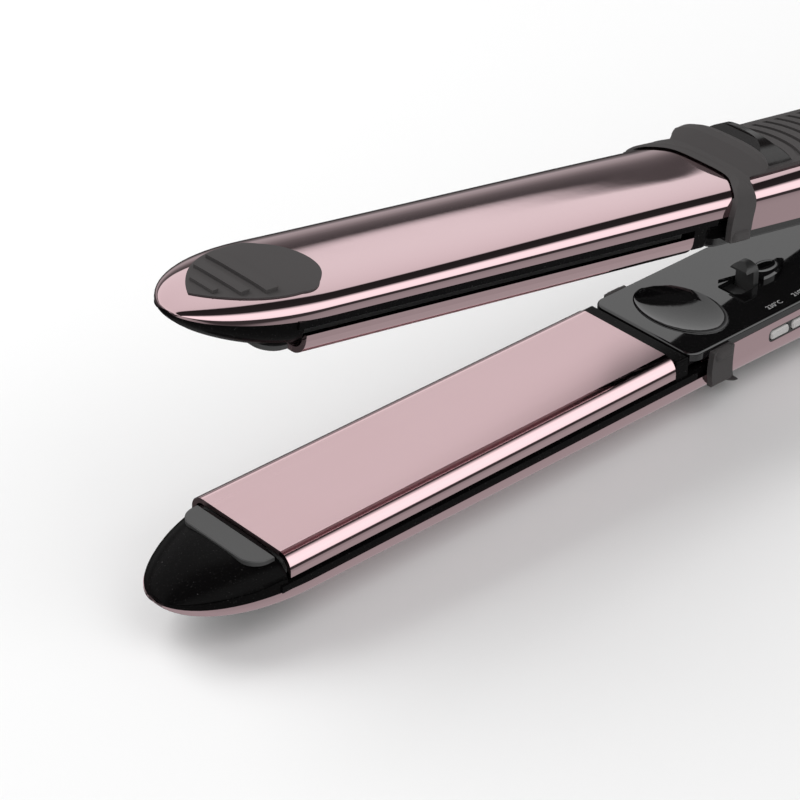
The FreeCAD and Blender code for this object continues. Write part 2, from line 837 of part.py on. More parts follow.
def key_slot():
    """Slot through the near side wall of the lower shell."""
    x0, x1, z0, z1 = key_slot_limits(bezel_border)
    return rounded_bar(x0, x1, arm_width / 2 - 4, arm_width / 2 + 4, z0, z1)


def key_bezel():
    """Dark frame lining the key slot."""
    x0, x1, z0, z1 = key_slot_limits(bezel_border - 0.05)
    y1 = arm_width / 2 - 0.1
    y0 = y1 - bezel_depth
    frame_block = rounded_bar(x0, x1, y0, y1, z0, z1)
    half_x = key_length / 2 + key_gap
    half_z = key_height / 2 + key_gap
    for x in key_places():
        hole = rounded_bar(x - half_x, x + half_x, 0, 20, key_z - half_z, key_z + half_z)
        frame_block = frame_block.cut(hole)
    return frame_block


def key(index):
    """One push key with a bevelled face and a flange behind the bezel."""
    x = key_places()[index]
    face_y = arm_width / 2 + key_proud
    back_y = arm_width / 2 - 0.1 - bezel_depth - small_gap
    half_x = key_length / 2
    half_z = key_height / 2
    cap = rounded_bar(x - half_x, x + half_x, back_y, face_y, key_z - half_z, key_z + half_z)
    front = [e for e in cap.Edges if e.BoundBox.YMin > face_y - 0.01]
    cap = cap.makeChamfer(key_chamfer, front)
    reach_x = half_x + key_gap + 0.1
    reach_z = half_z + key_gap + 0.25
    flange = box(x - reach_x, x + reach_x, back_y - 0.8, back_y, key_z - reach_z, key_z + reach_z)
    stem = box(x - 1.0, x + 1.0, back_y - key_stem, back_y, key_z - 0.8, key_z + 0.8)
    return fuse([cap, flange, stem])


def key_board():
    """Upright board behind the keys with one switch per key."""
    x0, x1, _, _ = key_slot_limits(0.8)
    stem_y = arm_width / 2 - 0.1 - bezel_depth - small_gap - key_stem
    switch_front = stem_y - key_travel - small_gap
    board_front = switch_front - 1.2
    board = box(x0, x1, board_front - 1.2, board_front, 4.4, key_z + 2.8)
    parts = [board]
    for x in key_places():
        parts.append(box(x - 2.2, x + 2.2, board_front, switch_front - 0.4, key_z - 1.6, key_z + 1.6))
        parts.append(rod(0.9, V(x, board_front, key_z), V(x, switch_front, key_z)))
    return fuse(parts)


def control_board():
    """Power board inside the lower handle."""
    board = box(177, 205, -8.0, 6.8, 8.6, 9.9)
    blocks = [
        box(180, 190, -6, 2, 5.6, 8.6),
        box(193, 198, -6, 5, 6.0, 8.6),
        rod(2.0, V(201.5, 3, 5.2), V(201.5, 3, 8.7)),
    ]
    return fuse([board] + blocks)


def terminal_block():
    """Insulated block where the heater leads are joined."""
    z0 = lead_z - 1.4
    block = box(164.5, 174, -7.0, 7.0, z0, z0 + 2.8)
    for y in lead_places:
        block = block.cut(rod(1.05, V(160, y, lead_z), V(166.5, y, lead_z)))
    return block


def heater_leads():
    """Insulated leads from the plate end to the terminal block."""
    leads = [rod(0.9, V(148.0, y, lead_z), V(166.3, y, lead_z)) for y in lead_places]
    return Part.makeCompound(leads)


# ---------------------------------------------------------------- lock
def upright_slot(x0, x1, y0, y1, z0, z1, radius):
    """Upright block with its four upright edges rounded."""
    block = box(x0, x1, y0, y1, z0, z1)
    edges = [e for e in block.Edges if abs(e.tangentAt(e.FirstParameter).z) > 0.9]
    return block.makeFillet(radius, edges)


def lock_slot():
    """Window in the lower cover in which the hook slides."""
    half = lock_width / 2 + small_gap
    x0 = lock_x - lock_lip - lock_travel - small_gap
    return upright_slot(x0, lock_x + lock_stem + small_gap, lock_y - half, lock_y + half, -5, 8, 0.9)


def lock_pocket():
    """Shallow diamond-shaped recess round the hook's window."""
    x0 = lock_x - lock_lip - lock_travel - 3.0
    x1 = lock_x + lock_stem + 0.8
    half = lock_width / 2 + 1.6
    outline = [(x0, 0.0), (x1 - 6.5, half), (x1, half * 0.6), (x1, -half * 0.6), (x1 - 6.5, -half)]
    corners = [V(x, lock_y + y, cover_z - 1) for x, y in outline]
    diamond = Part.Face(Part.makePolygon(corners + corners[:1])).extrude(V(0, 0, 1.5))
    upright = [e for e in diamond.Edges if abs(e.tangentAt(e.FirstParameter).z) > 0.9]
    return diamond.makeFillet(0.8, upright)


def lock_hook():
    """Round-topped hook standing through the lower cover, with its carriage and side arm."""
    radius = lock_width / 2
    lip_z = -(cover_z + catch_thickness + 0.2)
    x0 = lock_x
    x1 = lock_x + lock_stem
    profile = [
        (x0, 4.0),
        (x0, lip_z),
        (x0 - lock_lip, lip_z),
        (x0 - lock_lip, lip_z - 0.5),
        (x0 - 0.6, -lock_rise),
        (x1 - 0.5, -lock_rise),
        (x1, -lock_rise + 0.9),
        (x1, 4.0),
    ]
    corners = [V(x, lock_y - radius, z) for x, z in profile]
    tab = Part.Face(Part.makePolygon(corners + corners[:1])).extrude(V(0, lock_width, 0))
    centre_z = -lock_rise + radius
    round_top = rod(radius, V(x0 - lock_lip - 1, lock_y, centre_z), V(x1 + 1, lock_y, centre_z))
    foot = box(x0 - 1, x1 + 1, lock_y - radius, lock_y + radius, centre_z, 5)
    hook = tab.common(round_top.fuse(foot))
    carriage = box(lock_x - 3.0, lock_x + 6.0, lock_y - 5.0, lock_y + 5.0, 3.5, 5.0)
    arm = box(lock_x, lock_x + 4.0, -12.8, lock_y, 3.5, 7.0)
    return fuse([hook, carriage, arm])


def lock_wall_slot():
    """Slot through the far side wall for the stem of the lock knob."""
    half = arm_width / 2
    slot = box(lock_x - lock_travel - small_gap, lock_x + 4.0 + small_gap, -half - 2, -half + 3,
               5.0 - small_gap, 7.0 + small_gap)
    edges = [e for e in slot.Edges if abs(e.tangentAt(e.FirstParameter).y) > 0.9]
    return slot.makeFillet(0.8, edges)


def lock_knob():
    """Thumb knob of the lock on the far side wall."""
    half = arm_width / 2
    x0 = lock_x + 2.0 - lock_knob_length / 2
    x1 = x0 + lock_knob_length
    pad = box(x0, x1, -half - 2.0, -half - small_gap, 4.0, 8.2)
    edges = [e for e in pad.Edges if abs(e.tangentAt(e.FirstParameter).y) > 0.9]
    pad = pad.makeFillet(1.4, edges)
    for i in range(4):
        x = lock_x + 2.0 + (i - 1.5) * 1.7
        pad = pad.cut(box(x - 0.35, x + 0.35, -half - 3, -half - 1.6, 3, 10))
    stem = box(lock_x, lock_x + 4.0, -half - small_gap - 0.2, -12.8, 5.0, 7.0)
    return fuse([pad, stem])


def lock_cowl():
    """Teardrop ring behind the hook."""
    z0 = cover_z - cowl_rise
    x0 = lock_x + lock_stem + 1.0
    half = cowl_width / 2
    front_far = V(x0, lock_y + half, z0)
    bow_far = V(x0 + 0.45 * cowl_length, lock_y + half * 0.95, z0)
    tail = V(x0 + cowl_length, lock_y, z0)
    bow_near = V(bow_far.x, lock_y - half * 0.95, z0)
    front_near = V(x0, lock_y - half, z0)
    body = plan_prism(
        [
            Part.Arc(front_far, bow_far, tail).toShape(),
            Part.Arc(tail, bow_near, front_near).toShape(),
            Part.LineSegment(front_near, front_far).toShape(),
        ],
        z0,
        cover_z,
    )
    top = [e for e in body.Edges if e.BoundBox.ZMax < z0 + 0.01]
    body = body.makeChamfer(0.45, top)
    hollow = ellipsoid(V(x0 + 0.42 * cowl_length, lock_y, z0), 0.32 * cowl_length, half - 1.2, cowl_rise - 0.2)
    return body.cut(hollow)


def catch_window():
    """Opening of the catch that lets the hook in."""
    half = lock_width / 2 + 0.4
    x0 = lock_x - lock_travel - small_gap
    return upright_slot(x0, lock_x + lock_stem + 1.0, -lock_y - half, -lock_y + half, -5, 9, 0.6)


def catch_block(grow, z0, z1):
    """Rounded block with the plan of the catch plate, widened by `grow`."""
    x0 = lock_x - lock_travel - lock_lip - 1.6 - grow
    x1 = lock_x + lock_stem + 4.3 + grow
    half = lock_width / 2 + 2.4 + grow
    return upright_slot(x0, x1, -lock_y - half, -lock_y + half, z0, z1, 1.0)


def lock_catch():
    """Steel catch plate let into the upper cover."""
    return catch_block(0.0, cover_z, cover_z + catch_thickness).cut(catch_window())


def catch_seat():
    """Recess and clearance in the upper cover for the catch and the hook."""
    half = lock_width / 2 + 1.0
    x0 = lock_x - lock_travel - lock_lip - small_gap
    x1 = lock_x + lock_stem + 1.6
    room = upright_slot(x0, x1, -lock_y - half, -lock_y + half, 0, 9, 0.6)
    return catch_block(0.1, 0, cover_z + catch_thickness).fuse(room)


# ---------------------------------------------------------------- assembly
def to_lower(shape):
    """Turn a piece drawn in the arm frame into the lower arm."""
    placed = shape.copy()
    placed.rotate(V(0, 0, 0), V(1, 0, 0), 180)
    return placed


def to_upper(shape):
    """Turn a piece drawn in the arm frame into the opened upper arm."""
    placed = shape.copy()
    placed.rotate(V(hinge_x, 0, 0), V(0, 1, 0), opening_angle)
    return placed


def build_tool():
    """All pieces by name, placed in the open pose."""
    outer = envelope(0.0)
    inner = envelope(wall, -3.0)
    floor = envelope(pad_depth, -2.0)
    raised = envelope(-pad_raise, -2.0)
    ribs = envelope(-rib_raise, -2.0)
    grip = envelope(-grip_raise, -2.0)

    shell = outer_shell(outer, inner, floor)
    collar_shape = collar(outer, raised)
    ridge = thumb_ridge(grip).cut(collar_shape)
    cover = handle_cover()
    both = {
        "plate_frame": frame(),
        "plate": plate(),
        "heater": heater(),
        "temperature_sensor": sensor_bead(),
        "plate_carrier": carrier(),
        "plate_bumpers": bumpers(),
        "heat_shield": heat_shield(),
        "nose_contact_pad": nose_contact(),
        "nose_thumb_pad": nose_pad(floor, raised, ribs),
        "finger_collar": collar_shape,
        "thumb_ridge": ridge,
        "grip_pad": grip_pad(outer, grip, collar_shape),
        "cover_screws": cover_screws(),
        "terminal_block": terminal_block(),
        "heater_leads": heater_leads(),
    }
    pieces = {}
    for name, shape in both.items():
        pieces["lower_" + name] = to_lower(shape)
        pieces["upper_" + name] = to_upper(shape)

    pieces["lower_shell"] = to_lower(shell.cut(key_slot()).cut(lock_wall_slot()))
    pieces["upper_shell"] = to_upper(shell)
    pieces["lower_handle_cover"] = to_lower(cover.cut(lock_slot()).cut(lock_pocket()))
    pieces["upper_handle_cover"] = to_upper(cover.cut(catch_seat()))
    pieces["lower_hinge_barrel"] = to_lower(barrel())
    pieces["upper_hinge_fork"] = to_upper(ears())
    pieces["hinge_pin"] = to_upper(hinge_pin())
    pieces["hinge_cap_near"] = to_upper(hinge_cap(-1))
    pieces["hinge_cap_far"] = to_upper(hinge_cap(1))
    pieces["hinge_spring"] = to_lower(hinge_spring())
    pieces["cord_inlet_sleeve"] = to_lower(cord_sleeve())
    pieces["cord_inlet_ring"] = to_lower(sleeve_ring())
    pieces["key_bezel"] = to_lower(key_bezel())
    pieces["key_board"] = to_lower(key_board())
    pieces["control_board"] = to_lower(control_board())
    for i in range(key_count):
        pieces["key_%d" % (i + 1)] = to_lower(key(i))
    pieces["lock_hook"] = to_lower(lock_hook())
    pieces["lock_knob"] = to_lower(lock_knob())
    pieces["lock_cowl"] = to_lower(lock_cowl())
    pieces["lock_catch"] = to_upper(lock_catch())
    return pieces


def main():
    """Build every piece, stand the tool on z = 0 at the origin and write the files."""
    os.makedirs("parts", exist_ok=True)
    pieces = build_tool()
    limits = Part.makeCompound(list(pieces.values())).optimalBoundingBox(False)
    shift = V(-(limits.XMin + limits.XMax) / 2, -(limits.YMin + limits.YMax) / 2, -limits.ZMin)
    for name, shape in pieces.items():
        placed = shape.copy()
        placed.translate(shift)
        placed.exportStep("parts/" + name + ".step")
    print("pieces", len(pieces))
    print("shift", round(shift.x, 3), round(shift.y, 3), round(shift.z, 3))
    print("size", round(limits.XLength, 2), round(limits.YLength, 2), round(limits.ZLength, 2))


main()
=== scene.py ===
import json
import logging
import math
from dataclasses import dataclass, field
from enum import Enum
from typing import Callable

import bmesh
import bpy
from mathutils import Matrix, Vector


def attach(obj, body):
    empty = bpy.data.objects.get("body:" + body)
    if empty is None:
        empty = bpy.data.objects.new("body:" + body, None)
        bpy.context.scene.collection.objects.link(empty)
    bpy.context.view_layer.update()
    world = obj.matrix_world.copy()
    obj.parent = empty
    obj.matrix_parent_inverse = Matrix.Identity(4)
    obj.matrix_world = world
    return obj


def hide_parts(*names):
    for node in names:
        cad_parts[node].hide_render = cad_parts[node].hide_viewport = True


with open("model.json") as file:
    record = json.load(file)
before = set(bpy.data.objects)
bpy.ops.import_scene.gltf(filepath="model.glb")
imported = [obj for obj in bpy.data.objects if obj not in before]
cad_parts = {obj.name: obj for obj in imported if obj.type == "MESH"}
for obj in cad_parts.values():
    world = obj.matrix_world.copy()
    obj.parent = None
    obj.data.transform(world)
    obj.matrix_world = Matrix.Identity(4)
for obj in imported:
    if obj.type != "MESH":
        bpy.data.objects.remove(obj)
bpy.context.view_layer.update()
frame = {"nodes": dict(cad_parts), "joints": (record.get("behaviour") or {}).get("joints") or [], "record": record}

logging.basicConfig(level=logging.INFO, format="%(message)s")
log = logging.getLogger("flat_iron")

MM = 0.001
CLOSE = 0.01 * MM
TOUCHING = 0.001 * MM
Colour = tuple[float, float, float]


# ---------------------------------------------------------------- shader building
class Signal:
    """A node output that takes part in shader arithmetic."""

    def __init__(self, tree: "Tree", socket: bpy.types.NodeSocket) -> None:
        """Keep the tree and the socket.

        Args:
            tree: the tree that new Math nodes are added to.
            socket: the output this signal stands for.
        """
        self.tree = tree
        self.socket = socket

    def _math(self, operation: str, a: object, b: object) -> "Signal":
        """Return the result of one Math node."""
        return self.tree.add("ShaderNodeMath", {"operation": operation}, {0: a, 1: b})

    def __add__(self, other: object) -> "Signal":
        """Return self + other."""
        return self._math("ADD", self, other)

    def __radd__(self, other: object) -> "Signal":
        """Return other + self."""
        return self._math("ADD", other, self)

    def __sub__(self, other: object) -> "Signal":
        """Return self - other."""
        return self._math("SUBTRACT", self, other)

    def __mul__(self, other: object) -> "Signal":
        """Return self * other."""
        return self._math("MULTIPLY", self, other)

    def __pow__(self, other: object) -> "Signal":
        """Return self to the power of other."""
        return self._math("POWER", self, other)


class Tree:
    """A node tree with one method that adds every kind of node."""

    def __init__(self, owner: bpy.types.Material | bpy.types.World) -> None:
        """Clear the owner's nodes and keep its tree.

        Args:
            owner: a material or world.
        """
        owner.use_nodes = True
        self.nodes = owner.node_tree.nodes
        self.links = owner.node_tree.links
        self.nodes.clear()

    def add(self, kind: str, settings: dict | None = None, inputs: dict | None = None,
            output: int | str = 0) -> Signal:
        """Add a node, apply its settings, then fill its inputs.

        Args:
            kind: node type.
            settings: attributes set first; "stops" fills a colour ramp.
            inputs: values or signals by socket name or index.
            output: the output wanted back.

        Returns:
            The chosen output as a signal.
        """
        node = self.nodes.new(kind)
        for name, value in (settings or {}).items():
            if name == "stops":
                self._fill_ramp(node.color_ramp, value)
            else:
                setattr(node, name, value)
        for name, value in (inputs or {}).items():
            self._feed(node.inputs[name], value)
        sockets = node.outputs
        return Signal(self, sockets[output]) if len(sockets) else Signal(self, None)

    def _feed(self, socket: bpy.types.NodeSocket, value: object) -> None:
        """Link a signal to a socket, or set a constant on it."""
        if isinstance(value, Signal):
            self.links.new(value.socket, socket)
        elif isinstance(value, tuple) and len(value) == 3 and socket.type == "RGBA":
            socket.default_value = (*value, 1.0)
        else:
            socket.default_value = value

    @staticmethod
    def _fill_ramp(ramp: bpy.types.ColorRamp, stops: list[tuple[float, Colour]]) -> None:
        """Give a ramp the stops it needs."""
        while len(ramp.elements) < len(stops):
            ramp.elements.new(0.5)
        for element, (place, colour) in zip(ramp.elements, stops):
            element.position = place
            element.color = (*colour, 1.0)

    def place(self) -> Signal:
        """Return the Object coordinates of the shaded point."""
        return self.add("ShaderNodeTexCoord", output="Object")

    def stretched(self, scale: Colour) -> Signal:
        """Return Object coordinates multiplied by a scale for each axis."""
        return self.add("ShaderNodeMapping", None, {"Vector": self.place(), "Scale": scale})

    def noise(self, scale: float, detail: float = 3.0, where: Signal | None = None) -> Signal:
        """Return a noise value.

        Args:
            scale: noise cells per metre.
            detail: octaves.
            where: coordinates, Object ones when left out.

        Returns:
            The noise, about 0.5 on average.
        """
        inputs = {"Vector": where or self.place(), "Scale": scale, "Detail": detail}
        return self.add("ShaderNodeTexNoise", None, inputs, "Fac")

    def mix(self, share: object, a: object, b: object) -> Signal:
        """Return colour a turned into colour b by share."""
        return self.add("ShaderNodeMix", {"data_type": "RGBA"}, {0: share, 6: a, 7: b}, 2)

    def ramp(self, value: Signal, stops: list[tuple[float, Colour]]) -> Signal:
        """Return a colour ramp of a value.

        Args:
            value: what the ramp reads.
            stops: place and colour of each stop.

        Returns:
            The ramp's colour.
        """
        return self.add("ShaderNodeValToRGB", {"stops": stops}, {"Fac": value})

    def bump(self, height: Signal, strength: float, depth: float) -> Signal:
        """Return a normal bent by a height.

        Args:
            height: height field from 0 to 1.
            strength: share of the effect.
            depth: height in metres of one unit.

        Returns:
            The bumped normal.
        """
        inputs = {"Height": height, "Strength": strength, "Distance": depth}
        return self.add("ShaderNodeBump", None, inputs, "Normal")

    def surface(self, values: dict) -> None:
        """Finish the tree with a Principled shader.

        Args:
            values: constants and signals by socket name.
        """
        shader = self.add("ShaderNodeBsdfPrincipled", None, values)
        self.add("ShaderNodeOutputMaterial", None, {"Surface": shader})


# ---------------------------------------------------------------- finishes
@dataclass(frozen=True)
class Finish:
    """A named surface finish that makes its material once."""

    name: str
    colour: Colour

    def material(self) -> bpy.types.Material:
        """Return the material, made on first use."""
        made = bpy.data.materials.get(self.name)
        if made is None:
            made = bpy.data.materials.new(self.name)
            self.paint(Tree(made))
            made.diffuse_color = (*self.colour, 1.0)
        return made

    def paint(self, tree: Tree) -> None:
        """Fill the tree; each finish has its own."""
        raise NotImplementedError

    def tinted(self, tree: Tree, scale: float, spread: float, where: Signal | None = None) -> Signal:
        """Return the base colour drifting a little darker and lighter.

        Args:
            tree: tree being filled.
            scale: size of the patches, in cells per metre.
            spread: how far the colour drifts, as a share.
            where: coordinates, Object ones when left out.

        Returns:
            The drifting colour.
        """
        dark = tuple(c * (1 - spread) for c in self.colour)
        light = tuple(min(c * (1 + spread), 1.0) for c in self.colour)
        return tree.mix(tree.noise(scale, 4.0, where), dark, light)


@dataclass(frozen=True)
class MirrorMetal(Finish):
    """Mirror-bright rose metal with faint handling marks."""

    roughness: float = 0.022

    def paint(self, tree: Tree) -> None:
        """Fill the tree with polished metal."""
        marks = tree.noise(240.0, 6.0, tree.stretched((1.0, 4.0, 4.0)))
        smudge = tree.noise(38.0, 4.0)
        rough = self.roughness + marks * 0.015 + (smudge ** 3.0) * 0.04
        peel = tree.bump(tree.noise(420.0, 2.0), 0.02, 0.00005)
        tree.surface({
            "Base Color": self.tinted(tree, 26.0, 0.025),
            "Metallic": 1.0,
            "Roughness": rough,
            "Normal": peel,
        })


@dataclass(frozen=True)
class PlateCoating(Finish):
    """Coated heating plate: satin flat face between polished rolled edges, brushed lengthwise."""

    roughness: float = 0.05
    flat_roughness: float = 0.26
    flat_half_width: float = 12.0 * MM

    def paint(self, tree: Tree) -> None:
        """Fill the tree with a satin flat face between polished rolled edges."""
        lines = tree.noise(900.0, 3.0, tree.stretched((0.02, 1.0, 1.0)))
        axes = tree.add("ShaderNodeSeparateXYZ", None, {0: tree.place()})
        across = Signal(tree, axes.socket.node.outputs[1])
        away = tree.add("ShaderNodeMath", {"operation": "ABSOLUTE"}, {0: across})
        on_flat = tree.add("ShaderNodeMath", {"operation": "LESS_THAN"}, {0: away, 1: self.flat_half_width})
        satin = on_flat * (self.flat_roughness - self.roughness)
        glow = tree.noise(22.0, 3.0)
        tone = tuple(c * f for c, f in zip(self.colour, (0.97, 0.93, 0.92)))
        colour = tree.mix((glow ** 2.0) * 0.8, self.colour, tone)
        tree.surface({
            "Base Color": colour,
            "Metallic": 1.0,
            "Roughness": self.roughness + satin + lines * 0.05,
            "Normal": tree.bump(lines, 0.02, 0.00003),
        })


@dataclass(frozen=True)
class GlossPlastic(Finish):
    """Piano-gloss plastic with dust specks and fine swirls."""

    roughness: float = 0.05
    specular: float = 0.5
    index: float = 1.5

    def paint(self, tree: Tree) -> None:
        """Fill the tree with deep glossy plastic."""
        dust = tree.noise(2600.0, 1.0) ** 14.0
        swirl = tree.noise(150.0, 6.0, tree.stretched((1.0, 3.0, 1.0)))
        colour = tree.mix(dust * 6.0, self.colour, (0.10, 0.095, 0.095))
        tree.surface({
            "Base Color": colour,
            "Roughness": self.roughness + swirl * 0.03 + dust * 2.0,
            "Specular IOR Level": self.specular,
            "IOR": self.index,
            "Normal": tree.bump(tree.noise(300.0, 2.0), 0.02, 0.00005),
        })


@dataclass(frozen=True)
class MouldedPlastic(Finish):
    """Spark-eroded plastic with a fine even texture."""

    roughness: float = 0.42
    grain: float = 2600.0
    depth: float = 0.00003

    def paint(self, tree: Tree) -> None:
        """Fill the tree with textured plastic."""
        grain = tree.noise(self.grain, 4.0)
        worn = tree.noise(60.0, 3.0)
        tree.surface({
            "Base Color": self.tinted(tree, 70.0, 0.12),
            "Roughness": self.roughness + grain * 0.12 - worn * 0.08,
            "Normal": tree.bump(grain, 0.5, self.depth),
        })


@dataclass(frozen=True)
class SoftRubber(Finish):
    """Soft-touch rubber with a velvety grain and paler rubbed patches."""

    roughness: float = 0.5

    def paint(self, tree: Tree) -> None:
        """Fill the tree with soft rubber."""
        grain = tree.noise(3200.0, 3.0)
        rubbed = tree.noise(55.0, 4.0) ** 2.0
        pale = tuple(min(c * 1.6 + 0.01, 1.0) for c in self.colour)
        tree.surface({
            "Base Color": tree.mix(rubbed * 0.7, self.colour, pale),
            "Roughness": self.roughness + grain * 0.16 - rubbed * 0.10,
            "Specular IOR Level": 0.12,
            "Normal": tree.bump(grain, 0.45, 0.00003),
        })


@dataclass(frozen=True)
class BrushedSteel(Finish):
    """Steel with fine turning or brushing lines."""

    stretch: Colour = (1.0, 0.05, 1.0)

    def paint(self, tree: Tree) -> None:
        """Fill the tree with brushed steel."""
        lines = tree.noise(2400.0, 3.0, tree.stretched(self.stretch))
        tree.surface({
            "Base Color": self.tinted(tree, 120.0, 0.06),
            "Metallic": 1.0,
            "Roughness": 0.24 + lines * 0.18,
            "Normal": tree.bump(lines, 0.12, 0.00005),
        })


@dataclass(frozen=True)
class Ceramic(Finish):
    """Fired ceramic with a chalky speckle."""

    def paint(self, tree: Tree) -> None:
        """Fill the tree with ceramic."""
        speck = tree.noise(1800.0, 5.0)
        tree.surface({
            "Base Color": tree.mix(speck ** 3.0, self.colour, (0.62, 0.58, 0.52)),
            "Roughness": 0.5 + speck * 0.2,
            "Normal": tree.bump(speck, 0.3, 0.00003),
        })


@dataclass(frozen=True)
class BoardLacquer(Finish):
    """Circuit board lacquer over copper tracks."""

    def paint(self, tree: Tree) -> None:
        """Fill the tree with lacquered tracks."""
        tracks = tree.add("ShaderNodeTexVoronoi", {"distance": "MANHATTAN", "feature": "F2"},
                          {"Vector": tree.place(), "Scale": 420.0}, "Distance")
        line = tree.ramp(tracks, [(0.0, (0, 0, 0)), (0.55, (0, 0, 0)), (0.6, (1, 1, 1))])
        lighter = tuple(min(c * 2.0, 1.0) for c in self.colour)
        tree.surface({
            "Base Color": tree.mix(line, self.colour, lighter),
            "Roughness": 0.28 + tree.noise(300.0) * 0.1,
            "Coat Weight": 0.3,
        })


@dataclass(frozen=True)
class WovenSleeve(Finish):
    """Braided insulating sleeve."""

    def paint(self, tree: Tree) -> None:
        """Fill the tree with a diagonal braid."""
        waves = tree.add("ShaderNodeTexWave", {"wave_type": "BANDS", "bands_direction": "DIAGONAL"},
                         {"Vector": tree.place(), "Scale": 900.0, "Distortion": 1.0}, "Fac")
        dark = tuple(c * 0.55 for c in self.colour)
        tree.surface({
            "Base Color": tree.mix(waves, dark, self.colour),
            "Roughness": 0.75 + waves * 0.1,
            "Normal": tree.bump(waves, 0.5, 0.0001),
        })


@dataclass(frozen=True)
class PrintedInk(Finish):
    """Pale pad-printed ink with thin spots."""

    def paint(self, tree: Tree) -> None:
        """Fill the tree with printed ink."""
        thin = tree.noise(2200.0, 3.0)
        tree.surface({
            "Base Color": tree.mix((thin ** 3.0) * 2.0, self.colour, (0.25, 0.25, 0.25)),
            "Roughness": 0.4 + thin * 0.1,
        })


ROSE_METAL = MirrorMetal("rose_metal", (0.68, 0.49, 0.515))
ROSE_PLATE = PlateCoating("rose_plate_coating", (0.72, 0.52, 0.545))
GLOSS_BLACK = GlossPlastic("gloss_black", (0.003, 0.0028, 0.003), 0.05, 0.12)
COVER_BLACK = GlossPlastic("cover_black", (0.003, 0.0028, 0.003), 0.03, 0.5, 1.75)
NOSE_BLACK = GlossPlastic("nose_black", (0.0025, 0.0023, 0.0024), 0.22, 0.04)
SATIN_BLACK = MouldedPlastic("satin_black", (0.010, 0.009, 0.0095), 0.34)
SOFT_BLACK = SoftRubber("soft_black", (0.014, 0.0118, 0.0112), 0.44)
RIDGE_BLACK = GlossPlastic("ridge_black", (0.006, 0.005, 0.005), 0.16, 0.35)
SILICONE = SoftRubber("silicone", (0.012, 0.011, 0.011), 0.40)
CERAMIC = Ceramic("ceramic", (0.88, 0.87, 0.84))
INSULATOR = MouldedPlastic("insulator", (0.05, 0.05, 0.05), 0.55, 1800.0)
STEEL = BrushedSteel("steel", (0.60, 0.60, 0.61))
SENSOR = GlossPlastic("sensor_bead", (0.35, 0.12, 0.05), 0.1)
SLEEVE = WovenSleeve("lead_sleeve", (0.80, 0.78, 0.74))
BOARD = BoardLacquer("circuit_board", (0.02, 0.09, 0.045))
SILVER_KEY = MouldedPlastic("silver_key", (0.30, 0.285, 0.28), 0.26, 3200.0, 0.00002)
PRINT = PrintedInk("printed_marks", (0.80, 0.80, 0.80))

SLOT_FINISHES: dict[str, Finish] = {
    "rose_shell": ROSE_METAL,
    "rose_plate": ROSE_PLATE,
    "gloss_black": GLOSS_BLACK,
    "satin_black": SATIN_BLACK,
    "soft_black": SOFT_BLACK,
    "silicone": SILICONE,
    "ceramic": CERAMIC,
    "insulator": INSULATOR,
    "steel": STEEL,
    "sensor_glass": SENSOR,
    "lead_sleeve": SLEEVE,
    "circuit_board": BOARD,
    "silver_key": SILVER_KEY,
}


